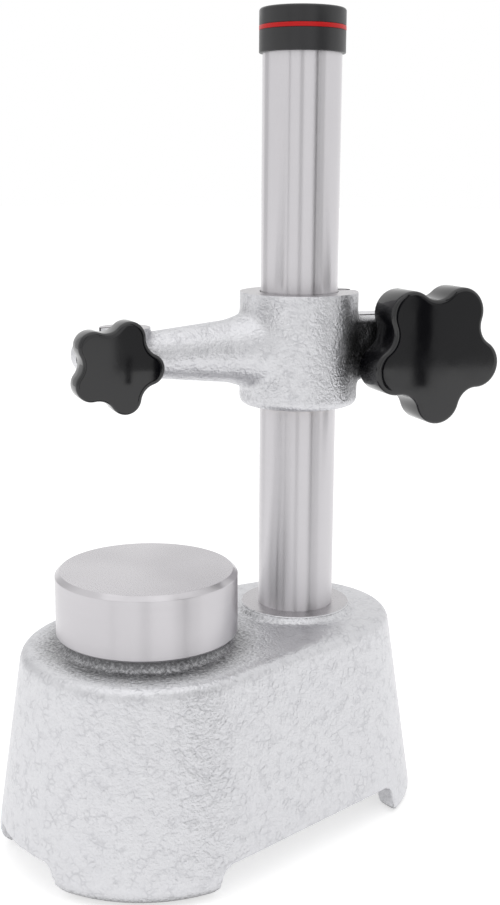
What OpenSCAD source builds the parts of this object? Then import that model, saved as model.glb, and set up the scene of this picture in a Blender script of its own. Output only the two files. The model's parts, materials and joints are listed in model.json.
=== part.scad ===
// Comparator stand: a hollow cast base on three feet, a lapped measuring table, a ground column, and a cast
// carrier whose arm slides and swings on the column and clamps the stem of an indicator over the table.
// Millimetres. The origin is the middle of the table's face. +Z is up and the column stands towards +Y.
// Every piece is drawn round the column's axis with the ground at z = 0, and in_frame moves it into place.
// The carrier has axes of its own: its arm runs towards its -Y, and both clamp screws run along its X.

/* [Base] */
// Height of the base to its flat top
base_h = 58; // [52:0.5:66]
// Distance from the column's axis to the table's axis, and the reach of the arm
throat = 52; // [50:0.5:58]
// Angle by which each long side closes in towards the rear, in degrees
side_angle = 7.8; // [6:0.1:9]
// Radius of the narrow rear end, at the top
rear_r = 27.6; // [26:0.1:29]
// Draft of the outer walls, in degrees
draft = 8.4; // [6:0.1:9]
// Wall thickness of the hollow casting
wall = 6.5; // [5.5:0.1:7.5]
// Thickness of the casting's top
top_wall = 8; // [6:0.5:10]
// Rounding of the top edge
top_round = 3.3; // [2:0.1:4]
// Rounding of the hollow's upper edge
hollow_round = 4; // [2:0.1:5]
// Rounding under the two front feet
front_foot_round = 7; // [4:0.1:7.2]
// Rounding under the rear foot
rear_foot_round = 2.5; // [1:0.1:4]
// Height of the arches between the feet
arch_h = 9; // [8.6:0.1:11]
// Radius of an arch's upper corners
arch_corner = 4; // [2:0.1:5]
// Radius where an arch rounds into the sole of a foot
arch_flare = 3; // [1:0.1:3.5]
// Front end of the side arches, measured forwards from the column's axis
side_arch_front = 55.1; // [52:0.1:57]
// Rear end of the side arches, measured backwards from the column's axis
side_arch_rear = 12; // [8:0.1:16]
// Half width of the arch between the two front feet
front_arch_half = 15.2; // [10:0.1:18]
// Diameter of the socket's boss round the column
socket_d = 34; // [32:0.5:36]
// Thickness of the rib that joins the two inner bosses
rib_t = 5; // [4:0.1:7]
// Depth of that rib below the casting's top wall
rib_depth = 26; // [16:1:32]

/* [Table] */
// Diameter of the measuring table
table_d = 50.2; // [47:0.1:53]
// Thickness of the measuring table
table_t = 18; // [15:0.1:22]
// Chamfer of the table's upper edge
table_chamfer = 1.3; // [0.5:0.1:2]
// Chamfer of the table's lower edge
table_lower_chamfer = 0.6; // [0.3:0.1:1]
// Diameter of the painted pedestal under the table
pedestal_d = 46; // [42:0.1:47]
// Height of the pedestal above the base's top
pedestal_h = 3.4; // [2.5:0.1:5]
// Fillet round the pedestal's foot
pedestal_fillet = 1.6; // [0.5:0.1:2]
// Diameter of the inner boss for the table's screw
table_boss_d = 22; // [18:0.5:26]
// Depth of that boss below the top wall
table_boss_depth = 6; // [3:0.5:10]
// Room round the head and washer of the table's screw, where the rib is cut away
table_screw_room = 1.6; // [1:0.1:2.5]
// Length of thread that the table's screw has in the table
table_grip = 9; // [7:0.5:11]

/* [Column] */
// Diameter of the column
column_d = 22; // [21:0.1:23]
// Height of the column's upper end above the ground
column_top = 226; // [210:1:240]
// Height of the seat that the column stands on in its socket
column_seat = 22; // [20:0.5:26]
// Thickness of the socket's floor
socket_floor = 8; // [6:0.5:8.5]
// Diameter of the machined ring round the column's foot
foot_ring_d = 33.4; // [31:0.1:36]
// Height of that ring above the base's top
foot_ring_h = 2; // [1.2:0.1:3]
// Rounding of that ring's painted rim
foot_ring_round = 0.9; // [0.3:0.1:1.1]
// Chamfer of the column's ends
column_chamfer = 1; // [0.5:0.1:1.5]
// Length of thread that the column's screw has in the column
column_grip = 16; // [12:0.5:20]

/* [Cap] */
// Outer diameter of the cap
cap_d = 23.9; // [23.6:0.1:25]
// Height of the cap
cap_h = 11.8; // [10:0.1:14]
// Thickness of the cap's top
cap_top_t = 3.4; // [2:0.1:4]
// Rounding of the cap's upper edge
cap_round = 0.8; // [0.3:0.1:1.2]
// Height of the coloured ring
ring_h = 1.2; // [0.8:0.1:2]
// Height of the ring's middle above the cap's lower edge
ring_z = 6.6; // [4:0.1:7.5]
// Depth of the groove that the ring lies in
ring_groove = 0.4; // [0.3:0.05:0.5]

/* [Carrier] */
// Height of the arm's axis above the ground
arm_z = 136.4; // [130:0.1:150]
// Swing of the arm away from the base's middle plane, in degrees
arm_swing = -13.5; // [-20:0.1:0]
// Diameter of the sleeve round the column
sleeve_d = 34; // [33:0.1:36]
// Height of the sleeve
sleeve_h = 32.3; // [30:0.1:36]
// Rounding of the sleeve's lower edge
sleeve_round = 2.2; // [1:0.1:3]
// Rounding of the sleeve's upper edge
sleeve_top_round = 0.5; // [0.3:0.1:1]
// Radius of the arm where its axis leaves the sleeve
arm_root_r = 9.4; // [8.5:0.1:10.5]
// Radius of the arm's flare inside the sleeve's surface
arm_flare_r = 12.4; // [11:0.1:13]
// Length of that flare
arm_flare_len = 11; // [8:0.5:14]
// Radius of the arm at the stem's axis
arm_end_r = 5.7; // [5.2:0.1:6.2]
// Radius of the upright hub at the arm's end
hub_r = 7; // [6.6:0.1:8]
// Height of the hub
hub_h = 16; // [14:0.1:18]
// Rounding of the hub's edges
hub_round = 0.8; // [0.3:0.1:1.5]
// Wall thickness of the guide bush
bush_wall = 1.4; // [1.1:0.05:1.6]
// Height of the lip that holds the guide bush in the sleeve
bush_lip = 2.5; // [1.8:0.1:4]
// Chamfer of the lip's bore
lip_chamfer = 0.8; // [0.4:0.1:1]

/* [Column clamp] */
// Distance of this clamp's axis behind the column's axis
column_clamp_y = 32.2; // [30:0.1:34]
// Radius of the ears
column_ear_r = 8.6; // [8:0.1:9.5]
// Half of the width over both ears
column_ear_half = 9; // [8:0.1:9.5]
// Radius of the blend between the lug and the sleeve
lug_blend = 4; // [3:0.1:5]
// Width of the slot between the ears
column_slot = 2.6; // [2:0.1:3]
// Radius over the tips of the knob's lobes
column_knob_r = 20.4; // [19:0.1:20.8]
// Radius to the bottom of the hollows between the lobes
column_hollow_r = 14.9; // [14:0.1:16]
// Radius of a lobe's tip
column_lobe_r = 6.8; // [6:0.1:7.5]
// Thickness of the lobed part of the knob
column_knob_t = 12; // [10:0.1:13]
// Radius of the knob's hub
column_hub_r = 9; // [8:0.1:10]
// Length of the knob's hub
column_hub_len = 2.6; // [2:0.1:5]
// Turn of the knob about its axis, in degrees
column_knob_turn = 2; // [0:0.5:72]

/* [Stem clamp] */
// Diameter of the bore for an indicator's stem
stem_d = 8; // [7:0.1:8.2]
// Distance of this clamp's axis in front of the stem's axis
stem_clamp_y = 8; // [7.6:0.1:9]
// Radius of the ears
stem_ear_r = 5.6; // [5.4:0.1:6.5]
// Half of the width over both ears
stem_ear_half = 6.5; // [6:0.1:8]
// Width of the slot between the ears
stem_slot = 1.6; // [1:0.1:2]
// Radius over the tips of the knob's lobes
stem_knob_r = 12.6; // [12:0.1:13.5]
// Radius to the bottom of the hollows between the lobes
stem_hollow_r = 9.5; // [9:0.1:10]
// Radius of a lobe's tip
stem_lobe_r = 4.2; // [3.8:0.1:4.6]
// Thickness of the lobed part of the knob
stem_knob_t = 7.3; // [6:0.1:8]
// Radius of the knob's hub
stem_hub_r = 5.6; // [5:0.1:6.2]
// Length of the knob's hub
stem_hub_len = 6.6; // [5:0.1:8]
// Turn of the knob about its axis, in degrees
stem_knob_turn = 13; // [0:0.5:72]

/* [Fits and fasteners] */
// Radial play of the running fits of the bush, the studs and the washers
play = 0.05; // [0.03:0.01:0.08]
// Radial play of a screw or stud in its clearance hole
hole_play = 0.35; // [0.2:0.05:0.4]
// Thread diameter of the column's screw and of the column clamp's stud
big_thread = 8; // [7:1:8]
// Thread diameter of the table's screw
table_thread = 6; // [5:1:6]
// Thread diameter of the stem clamp's stud
small_thread = 5; // [4:1:5]
// How far a stud stands out of its nut
stud_end = 1.5; // [0.5:0.1:2.5]
// How deep a nut sits in the ear
nut_pocket = 3; // [2:0.1:3.5]
// Rounding of the knobs' edges
knob_crown = 1.6; // [1:0.1:2.5]

/* [Hidden] */
$fn = 96;
casting_colour = [0.85, 0.85, 0.87];
steel_colour = [0.75, 0.74, 0.76];
dark_steel_colour = [0.3, 0.3, 0.32];
black_colour = [0.13, 0.13, 0.14];
brass_colour = [0.78, 0.64, 0.33];
ring_colour = [0.84, 0.09, 0.09];
// Length by which a cut runs past the face that it leaves
past = 1;
// Depth below the ground to which an arch's flare runs, so that it crosses the sole at an angle
arch_dip = 0.2;
arc_step = 15;
// Distance by which the round edges stand proud of the drafted walls, so that the two cross clearly
round_overlap = 0.02;
// Distance by which the flat sides lie inside the planes that touch both round ends, for the same reason
side_inset = 0.05;
slant = tan(draft);
// Radius of the wide front end, at the top
front_r = rear_r + throat * sin(side_angle);
front_foot_r = front_r + base_h * slant;
rear_foot_r = rear_r + base_h * slant;
// Inset of the hollow's outline, at the plane just under the ground where its cut starts
wall_inset = wall / cos(draft) - past * slant;
hollow_h = base_h - top_wall;
table_seat = base_h + pedestal_h;
table_boss_low = hollow_h - table_boss_depth;
socket_low = column_seat - socket_floor;
cap_low = column_top + cap_top_t - cap_h;
bush_inner_r = column_d / 2 + play;
bush_outer_r = bush_inner_r + bush_wall;
sleeve_bore_r = bush_outer_r + play;
lip_r = column_d / 2 + 6 * play;
sleeve_half = sleeve_h / 2;
arm_root_y = sleeve_d / 2;
// Loss of the arm's radius per millimetre of its length
arm_taper = (arm_root_r - arm_end_r) / (throat - arm_root_y);
arm_flare_y = arm_root_y - arm_flare_len / 2;
// The blend starts where the lug's sides leave the sleeve
lug_blend_y = sqrt(sleeve_d * sleeve_d / 4 - column_ear_half * column_ear_half);

// Sizes of a metric socket screw, nut and washer for a thread of diameter d
function head_r(d) = 0.8 * d + 0.2;
function key_flats(d) = 0.7 * d + 0.5;
function nut_flats(d) = 1.65 * d - 0.2;
function nut_t(d) = 0.8 * d;
function washer_r(d) = d;
function washer_t(d) = 0.2 * d;
function thread_r(d) = d / 2 - play;

module in_frame() { translate([0, throat, -table_seat - table_t]) children(); }
module at_table() { translate([0, -throat, 0]) children(); }
module carrier_place() { rotate([0, 0, arm_swing]) translate([0, 0, arm_z]) children(); }
// Turns an upright piece so that its foot faces the carrier and its top points along the carrier's +X
module along_x(x, y) { carrier_place() translate([x, y, 0]) rotate([0, 90, 0]) children(); }
module at_column_clamp(x) { along_x(x, column_clamp_y) children(); }
module at_stem_clamp(x) { along_x(x, -throat - stem_clamp_y) children(); }

// Half section of a drafted wall of height h, with rounded upper and lower edges
module wall_section(foot_r, h, upper, lower) {
    upper_z = h - upper * (1 - sin(draft));
    upper_x = foot_r - (h - upper) * slant - upper / cos(draft) + round_overlap;
    lower_z = lower * (1 + sin(draft));
    lower_x = foot_r - lower * slant - lower / cos(draft) + (lower > 0 ? round_overlap : 0);
    polygon([[0, 0], [lower_x, 0], [foot_r - lower_z * slant, lower_z], [foot_r - upper_z * slant, upper_z],
        [upper_x, h], [0, h]]);
    translate([upper_x, h - upper]) circle(upper);
    if (lower > 0) translate([lower_x, lower]) circle(lower);
}
// Teardrop with two round ends and straight sides that touch both, all with the same draft. Its pieces are
// built a little too high and trimmed together, so that they share one flat top.
module teardrop(front, rear, h, upper, front_lower, rear_lower) {
    high = h + round_overlap;
    difference() {
        union() {
            at_table() rotate_extrude() wall_section(front, high, upper, front_lower);
            rotate_extrude() wall_section(rear, high, upper, rear_lower);
            for (side = [0, 1]) mirror([side, 0, 0]) rotate([90, 0, side_angle])
                linear_extrude(throat * cos(side_angle)) {
                    wall_section(rear - side_inset, high, upper, rear_lower);
                    translate([rear - front, 0]) square([front - rear, high]);
                }
        }
        translate([-front, -throat - front, h]) cube([2 * front, throat + front + rear, past]);
    }
}
// Points of an arc in short straight steps of arc_step degrees
function arc_points(x, y, r, from, way) = [for (i = [0:90 / arc_step])
    [x + r * cos(from + way * i * arc_step), y + r * sin(from + way * i * arc_step)]];
// Outline of an arch's end at x = e: flared where it meets the ground, round in its upper corner
function arch_end(e, way) = concat([[e + way * arch_flare, -past]],
    arc_points(e + way * arch_flare, arch_flare - arch_dip, arch_flare, -90, -way),
    arc_points(e - way * arch_corner, arch_h - arch_corner, arch_corner, 90 - way * 90, way));
function backwards(v) = [for (i = [len(v) - 1:-1:0]) v[i]];
module arch(a, b) { polygon(concat(arch_end(b, 1), backwards(arch_end(a, -1)))); }
module arches() {
    rotate([90, 0, 90]) linear_extrude(4 * front_foot_r, center = true)
        arch(-side_arch_front, side_arch_rear);
    translate([0, -throat, 0]) rotate([90, 0, 0]) linear_extrude(2 * front_foot_r)
        arch(-front_arch_half, front_arch_half);
}
// Low round boss with a rounded rim and a fillet round its foot
module low_boss(r, h, rim, fillet) {
    rotate_extrude() {
        square([r - rim, h]);
        square([r, h - rim]);
        translate([r - rim, h - rim]) circle(rim);
        if (fillet > 0) difference() {
            square([r + fillet, fillet]);
            translate([r + fillet, fillet]) circle(fillet);
        }
    }
}
module base_casting() {
    color(casting_colour) in_frame() difference() {
        union() {
            difference() {
                teardrop(front_foot_r, rear_foot_r, base_h, top_round, front_foot_round, rear_foot_round);
                translate([0, 0, -past]) teardrop(front_foot_r - wall_inset, rear_foot_r - wall_inset,
                    hollow_h + past, hollow_round, 0, 0);
                arches();
            }
            translate([0, 0, socket_low]) cylinder(h = hollow_h - socket_low + past, d = socket_d);
            at_table() translate([0, 0, table_boss_low])
                cylinder(h = hollow_h - table_boss_low + past, d = table_boss_d);
            translate([-rib_t / 2, -throat, hollow_h - rib_depth]) cube([rib_t, throat, rib_depth + past]);
            translate([0, 0, base_h])
                low_boss(foot_ring_d / 2, foot_ring_h, foot_ring_round, foot_ring_round);
            at_table() translate([0, 0, base_h])
                low_boss(pedestal_d / 2, pedestal_h, foot_ring_round, pedestal_fillet);
        }
        translate([0, 0, column_seat]) cylinder(h = base_h, d = column_d);
        translate([0, 0, socket_low - past]) cylinder(h = base_h, r = big_thread / 2 + hole_play);
        at_table() translate([0, 0, table_boss_low - rib_depth])
            cylinder(h = rib_depth, r = head_r(table_thread) + 2 * hole_play + table_screw_room);
        at_table() translate([0, 0, table_boss_low - past])
            cylinder(h = base_h, r = table_thread / 2 + hole_play);
    }
}
// Round bar standing on z = 0 with chamfered ends
module bar(r, h, lower_chamfer, upper_chamfer) {
    rotate_extrude() polygon([[0, 0], [r - lower_chamfer, 0], [r, lower_chamfer], [r, h - upper_chamfer],
        [r - upper_chamfer, h], [0, h]]);
}
module measuring_table() {
    color(steel_colour) in_frame() at_table() translate([0, 0, table_seat]) difference() {
        bar(table_d / 2, table_t, table_lower_chamfer, table_chamfer);
        translate([0, 0, -past]) cylinder(h = table_grip + 2 * past, d = table_thread);
    }
}
// Socket screw whose head stands on z = 0 and whose thread runs up from it
module socket_screw(d, length) {
    head_h = d;
    difference() {
        union() {
            bar(head_r(d), head_h, 0.08 * d, 0.04 * d);
            translate([0, 0, head_h - 0.5]) bar(thread_r(d), length + 0.5, 0.2, 0.1 * d);
        }
        translate([0, 0, -past]) cylinder(h = head_h / 2 + past, d = key_flats(d) / cos(30), $fn = 6);
    }
}
module washer(d) {
    difference() {
        cylinder(h = washer_t(d), r = washer_r(d));
        translate([0, 0, -past]) cylinder(h = washer_t(d) + 2 * past, r = d / 2 + play);
    }
}
module table_screw() {
    low = table_boss_low - washer_t(table_thread);
    color(dark_steel_colour) in_frame() at_table() translate([0, 0, low - table_thread])
        socket_screw(table_thread, table_seat + table_grip - low);
}
module table_washer() {
    color(steel_colour) in_frame() at_table() translate([0, 0, table_boss_low - washer_t(table_thread)])
        washer(table_thread);
}
module column() {
    color(steel_colour) in_frame() translate([0, 0, column_seat]) difference() {
        bar(column_d / 2, column_top - column_seat, column_chamfer, column_chamfer);
        translate([0, 0, -past]) cylinder(h = column_grip + 3 * past, d = big_thread);
    }
}
module column_screw() {
    low = socket_low - washer_t(big_thread);
    color(dark_steel_colour) in_frame() translate([0, 0, low - big_thread])
        socket_screw(big_thread, column_seat + column_grip - low);
}
module column_washer() {
    color(steel_colour) in_frame() translate([0, 0, socket_low - washer_t(big_thread)]) washer(big_thread);
}
module column_cap() {
    color(black_colour) in_frame() translate([0, 0, cap_low]) difference() {
        low_boss(cap_d / 2, cap_h, cap_round, 0);
        translate([0, 0, -past]) cylinder(h = cap_h - cap_top_t + past, d = column_d);
        translate([0, 0, ring_z - ring_h / 2]) difference() {
            cylinder(h = ring_h, d = cap_d + past);
            cylinder(h = ring_h, r = cap_d / 2 - ring_groove);
        }
    }
}
module cap_ring() {
    color(ring_colour) in_frame() translate([0, 0, cap_low + ring_z - ring_h / 2]) difference() {
        cylinder(h = ring_h, r = cap_d / 2 + play);
        translate([0, 0, -past]) cylinder(h = ring_h + 2 * past, r = cap_d / 2 - ring_groove);
    }
}
// Split bush in which the column runs; it sits under the sleeve's lip
module guide_bush() {
    h = sleeve_h - bush_lip - 4 * play;
    color(brass_colour) in_frame() carrier_place() translate([0, 0, -sleeve_half]) difference() {
        cylinder(h = h, r = bush_outer_r);
        translate([0, 0, -past]) cylinder(h = h + 2 * past, r = bush_inner_r);
        translate([-column_slot / 2, 0, -past]) cube([column_slot, sleeve_d, h + 2 * past]);
    }
}
module sleeve() {
    r = sleeve_d / 2;
    translate([0, 0, -sleeve_half]) rotate_extrude() {
        translate([0, sleeve_round]) square([r, sleeve_h - sleeve_round - sleeve_top_round]);
        square([r - sleeve_round, sleeve_h]);
        translate([0, sleeve_h / 2]) square([r - sleeve_top_round, sleeve_h / 2]);
        translate([r - sleeve_round, sleeve_round]) circle(sleeve_round);
        translate([r - sleeve_top_round, sleeve_h - sleeve_top_round]) circle(sleeve_top_round);
    }
}
// Tapered round arm that flares where it leaves the sleeve, turned about its own axis
module arm() {
    rotate([90, 0, 0]) {
        cylinder(h = throat, r1 = arm_root_r + arm_taper * arm_root_y, r2 = arm_end_r);
        translate([0, 0, arm_flare_y]) cylinder(h = arm_flare_len, r1 = arm_flare_r,
            r2 = arm_root_r - arm_taper * arm_flare_len / 2);
    }
}
// Upright hub round the stem's bore and the two ears in front of it
module stem_end() {
    translate([0, -throat, -hub_h / 2]) rotate_extrude() {
        square([hub_r - hub_round, hub_h]);
        translate([0, hub_round]) square([hub_r, hub_h - 2 * hub_round]);
        for (z = [hub_round, hub_h - hub_round]) translate([hub_r - hub_round, z]) circle(hub_round);
    }
    translate([-stem_ear_half, -throat - stem_clamp_y, 0]) rotate([0, 90, 0])
        bar(stem_ear_r, 2 * stem_ear_half, hub_round, hub_round);
}
// Lug behind the sleeve with the two ears of the column clamp
module lug() {
    rotate([90, 0, 90]) linear_extrude(2 * column_ear_half, center = true) {
        translate([column_clamp_y, 0]) circle(column_ear_r);
        translate([0, -column_ear_r]) square([column_clamp_y, 2 * column_ear_r]);
        difference() {
            translate([0, -column_ear_r - lug_blend])
                square([lug_blend_y + lug_blend, 2 * column_ear_r + 2 * lug_blend]);
            for (side = [-1, 1]) translate([lug_blend_y + lug_blend, side * (column_ear_r + lug_blend)])
                circle(lug_blend);
        }
    }
}
module clamp_slot(width, y, length, h) {
    translate([-width / 2, y, -h / 2]) cube([width, length, h]);
}
// Hole for a clamp's stud through both ears, with the hexagonal pocket of its nut in the far ear
module clamp_bore(d, half) {
    rotate([0, 90, 0]) {
        cylinder(h = 2 * half + 2 * past, r = d / 2 + hole_play, center = true);
        translate([0, 0, -half - past]) cylinder(h = nut_pocket + past, d = nut_flats(d) / cos(30), $fn = 6);
    }
}
module carrier_casting() {
    color(casting_colour) in_frame() carrier_place() difference() {
        union() {
            sleeve();
            arm();
            stem_end();
            lug();
        }
        translate([0, 0, -sleeve_half - past]) cylinder(h = sleeve_h - bush_lip + past, r = sleeve_bore_r);
        translate([0, 0, -sleeve_half]) cylinder(h = sleeve_h + past, r = lip_r);
        translate([0, 0, sleeve_half - lip_chamfer])
            cylinder(h = lip_chamfer + past, r1 = lip_r, r2 = lip_r + lip_chamfer + past);
        clamp_slot(column_slot, 0, 2 * column_clamp_y, sleeve_h + 2 * past);
        translate([0, -throat, 0]) cylinder(h = hub_h + 2 * past, d = stem_d, center = true);
        clamp_slot(stem_slot, -throat - 3 * stem_clamp_y, 3 * stem_clamp_y, hub_h + 2 * past);
        translate([0, column_clamp_y, 0]) clamp_bore(big_thread, column_ear_half);
        translate([0, -throat - stem_clamp_y, 0]) clamp_bore(small_thread, stem_ear_half);
    }
}
module clamp_nut(d) {
    difference() {
        intersection() {
            cylinder(h = nut_t(d), d = nut_flats(d) / cos(30), $fn = 6);
            bar(nut_flats(d) / 2 / cos(30) - 0.01, nut_t(d), 0.06 * d, 0.01);
        }
        translate([0, 0, -past]) cylinder(h = nut_t(d) + 2 * past, d = d);
    }
}
// The stud runs from beyond its nut, through both ears, into the insert of the knob
module clamp_stud(d, half, hub_len, knob_t) {
    low = -half + nut_pocket - nut_t(d) - stud_end;
    high = insert_end(d, half, hub_len, knob_t) - past;
    translate([0, 0, low]) bar(thread_r(d), high - low, 0.1 * d, 0.1 * d);
}
// Distance from the slot's middle to the blind end of a knob's insert
function insert_end(d, half, hub_len, knob_t) = half + washer_t(d) + hub_len + knob_t / 2;
// Grooved threaded insert that is moulded into a knob
module clamp_insert(d, half, hub_len, knob_t) {
    low = half + washer_t(d);
    length = insert_end(d, half, hub_len, knob_t) - low;
    translate([0, 0, low]) difference() {
        insert_body(d, length);
        translate([0, 0, -past]) cylinder(h = length, d = d);
    }
}
module insert_body(d, length) {
    rotate_extrude() {
        square([0.68 * d, length]);
        for (z = [0, 2 / 3]) translate([0, z * length]) square([0.75 * d, length / 3]);
    }
}
// Outline of a five-lobed star: round lobes and round hollows that touch each other smoothly
module star(tip_r, hollow_r, lobe_r) {
    lobe_x = tip_r - lobe_r;
    half_pitch = 36;
    hollow_round_r = (lobe_r * lobe_r - lobe_x * lobe_x - hollow_r * hollow_r
        + 2 * lobe_x * hollow_r * cos(half_pitch)) / (2 * (hollow_r - lobe_x * cos(half_pitch) - lobe_r));
    hollow_x = hollow_r + hollow_round_r;
    difference() {
        union() {
            polygon([for (i = [0:9])
                (i % 2 == 0 ? lobe_x : hollow_x) * [cos(half_pitch * i), sin(half_pitch * i)]]);
            for (i = [0:4]) rotate(2 * half_pitch * i) translate([lobe_x, 0]) circle(lobe_r);
        }
        for (i = [0:4]) rotate(2 * half_pitch * i + half_pitch) translate([hollow_x, 0])
            circle(hollow_round_r);
    }
}
// Star knob: the lobed plate is trimmed by a turned envelope that rounds the tips of its lobes
module clamp_knob(d, half, tip_r, hollow_r, lobe_r, knob_t, hub_r, hub_len, turn) {
    low = half + washer_t(d);
    crown = knob_crown;
    difference() {
        union() {
            translate([0, 0, low]) bar(hub_r, hub_len + past, 0.4, 0);
            translate([0, 0, low + hub_len]) rotate([0, 0, turn]) intersection() {
                linear_extrude(knob_t) star(tip_r, hollow_r, lobe_r);
                rotate_extrude() {
                    square([tip_r - crown, knob_t]);
                    translate([0, crown]) square([tip_r + past, knob_t - 2 * crown]);
                    for (z = [crown, knob_t - crown]) translate([tip_r - crown, z]) circle(crown);
                }
            }
        }
        translate([0, 0, low]) insert_body(d, insert_end(d, half, hub_len, knob_t) - low);
    }
}
module column_clamp_nut() {
    color(steel_colour) in_frame() at_column_clamp(-column_ear_half + nut_pocket - nut_t(big_thread))
        clamp_nut(big_thread);
}
module stem_clamp_nut() {
    color(steel_colour) in_frame() at_stem_clamp(-stem_ear_half + nut_pocket - nut_t(small_thread))
        clamp_nut(small_thread);
}
module column_clamp_washer() {
    color(steel_colour) in_frame() at_column_clamp(column_ear_half) washer(big_thread);
}
module column_clamp_stud() {
    color(dark_steel_colour) in_frame() at_column_clamp(0)
        clamp_stud(big_thread, column_ear_half, column_hub_len, column_knob_t);
}
module column_clamp_insert() {
    color(brass_colour) in_frame() at_column_clamp(0)
        clamp_insert(big_thread, column_ear_half, column_hub_len, column_knob_t);
}
module column_clamp_knob() {
    color(black_colour) in_frame() at_column_clamp(0)
        clamp_knob(big_thread, column_ear_half, column_knob_r, column_hollow_r, column_lobe_r, column_knob_t,
            column_hub_r, column_hub_len, column_knob_turn);
}
module stem_clamp_washer() {
    color(steel_colour) in_frame() at_stem_clamp(stem_ear_half) washer(small_thread);
}
module stem_clamp_stud() {
    color(dark_steel_colour) in_frame() at_stem_clamp(0)
        clamp_stud(small_thread, stem_ear_half, stem_hub_len, stem_knob_t);
}
module stem_clamp_insert() {
    color(brass_colour) in_frame() at_stem_clamp(0)
        clamp_insert(small_thread, stem_ear_half, stem_hub_len, stem_knob_t);
}
module stem_clamp_knob() {
    color(black_colour) in_frame() at_stem_clamp(0)
        clamp_knob(small_thread, stem_ear_half, stem_knob_r, stem_hollow_r, stem_lobe_r, stem_knob_t,
            stem_hub_r, stem_hub_len, stem_knob_turn);
}
base_casting();
measuring_table();
table_screw();
table_washer();
column();
column_screw();
column_washer();
column_cap();
cap_ring();
guide_bush();
carrier_casting();
column_clamp_nut();
stem_clamp_nut();
column_clamp_washer();
column_clamp_stud();
column_clamp_insert();
column_clamp_knob();
stem_clamp_washer();
stem_clamp_stud();
stem_clamp_insert();
stem_clamp_knob();
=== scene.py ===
"""Comparator stand: looks of the cast base, measuring table, ground column, carrier with its two clamp
screws, cap and ring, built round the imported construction."""

import json
import math

import bmesh
import bpy
from mathutils import Matrix, Vector

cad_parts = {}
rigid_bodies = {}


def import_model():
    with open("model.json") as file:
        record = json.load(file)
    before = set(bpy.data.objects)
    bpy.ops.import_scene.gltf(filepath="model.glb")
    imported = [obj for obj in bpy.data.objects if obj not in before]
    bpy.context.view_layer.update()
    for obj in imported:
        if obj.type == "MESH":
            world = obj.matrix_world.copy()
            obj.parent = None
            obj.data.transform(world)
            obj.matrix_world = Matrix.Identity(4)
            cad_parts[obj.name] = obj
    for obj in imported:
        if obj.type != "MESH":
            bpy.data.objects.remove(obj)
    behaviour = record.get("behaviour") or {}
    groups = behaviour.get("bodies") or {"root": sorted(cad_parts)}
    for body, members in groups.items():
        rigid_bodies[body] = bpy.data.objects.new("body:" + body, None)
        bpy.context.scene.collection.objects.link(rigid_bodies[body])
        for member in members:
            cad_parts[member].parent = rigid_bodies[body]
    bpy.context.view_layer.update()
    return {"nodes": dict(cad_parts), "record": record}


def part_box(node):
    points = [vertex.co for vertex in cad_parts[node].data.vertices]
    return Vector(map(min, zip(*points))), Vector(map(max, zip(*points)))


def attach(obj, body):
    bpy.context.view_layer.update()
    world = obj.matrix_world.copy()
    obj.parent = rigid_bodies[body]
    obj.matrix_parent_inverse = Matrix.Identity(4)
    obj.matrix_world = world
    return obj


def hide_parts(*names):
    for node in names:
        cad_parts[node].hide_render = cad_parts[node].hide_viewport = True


for left_over in list(bpy.data.objects):
    bpy.data.objects.remove(left_over)
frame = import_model()

# Sizes in metres, as in the construction; what a node's box tells is taken from the box
MM = 0.001
THROAT = 52 * MM

# Sizes of the base
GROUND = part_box("base_casting")[0].z
BASE_H = 58 * MM
SIDE_ANGLE = math.radians(7.8)
DRAFT = math.radians(8.4)
REAR_R = 27.6 * MM
FRONT_R = REAR_R + THROAT * math.sin(SIDE_ANGLE)
WALL = 6.5 * MM
TOP_WALL = 8 * MM
TOP_ROUND = 3.3 * MM
HOLLOW_ROUND = 4 * MM
FRONT_FOOT_ROUND = 7 * MM
REAR_FOOT_ROUND = 2.5 * MM
ARCH_H = 9 * MM
ARCH_CORNER = 4 * MM
ARCH_FLARE = 3 * MM
SIDE_ARCH_FRONT = 55.1 * MM
SIDE_ARCH_REAR = 12 * MM
FRONT_ARCH_HALF = 15.2 * MM
SOCKET_R = 17 * MM
SOCKET_LOW = 14 * MM
COLUMN_SEAT = 22 * MM
COLUMN_R = 11 * MM
COLUMN_PLAY = 0.02 * MM
COLUMN_SCREW_HOLE_R = 4.35 * MM
RIB_T = 5 * MM
RIB_DEPTH = 26 * MM
TABLE_BOSS_R = 11 * MM
TABLE_BOSS_DEPTH = 6 * MM
TABLE_SCREW_HOLE_R = 3.35 * MM
WASHER_ROOM_R = 7.3 * MM
PEDESTAL_R = 23 * MM
PEDESTAL_H = 3.4 * MM
PEDESTAL_FILLET = 1.6 * MM
FOOT_RING_R = 16.7 * MM
FOOT_RING_H = 2 * MM
FOOT_RING_ROUND = 0.9 * MM

# The foot ring's turned face: how far its rim lies inside the ring, its chamfer and its depth below the ring
LAND_IN = 0.5 * MM
LAND_EDGE = 0.3 * MM
LAND_SINK = 0.02 * MM

# Sizes of the carrier
ARM_Z = 57 * MM
ARM_SWING = math.radians(-13.5)
SLEEVE_R = 17 * MM
SLEEVE_H = 32.3 * MM
SLEEVE_ROUND = 2.2 * MM
ARM_ROOT_R = 9.4 * MM
ARM_FLARE_R = 12.4 * MM
ARM_FLARE_LEN = 11 * MM
ARM_END_R = 5.7 * MM
HUB_R = 7 * MM
HUB_H = 16 * MM
STEM_BORE_R = 4 * MM
BUSH_BORE_R = 12.5 * MM
BUSH_LIP = 2.5 * MM
LIP_R = 11.3 * MM
STUD_HOLE_PLAY = 0.35 * MM
NUT_POCKET = 3 * MM
CARRIER_PLACE = Matrix.Translation((0, THROAT, ARM_Z)) @ Matrix.Rotation(ARM_SWING, 4, "Z")

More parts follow.
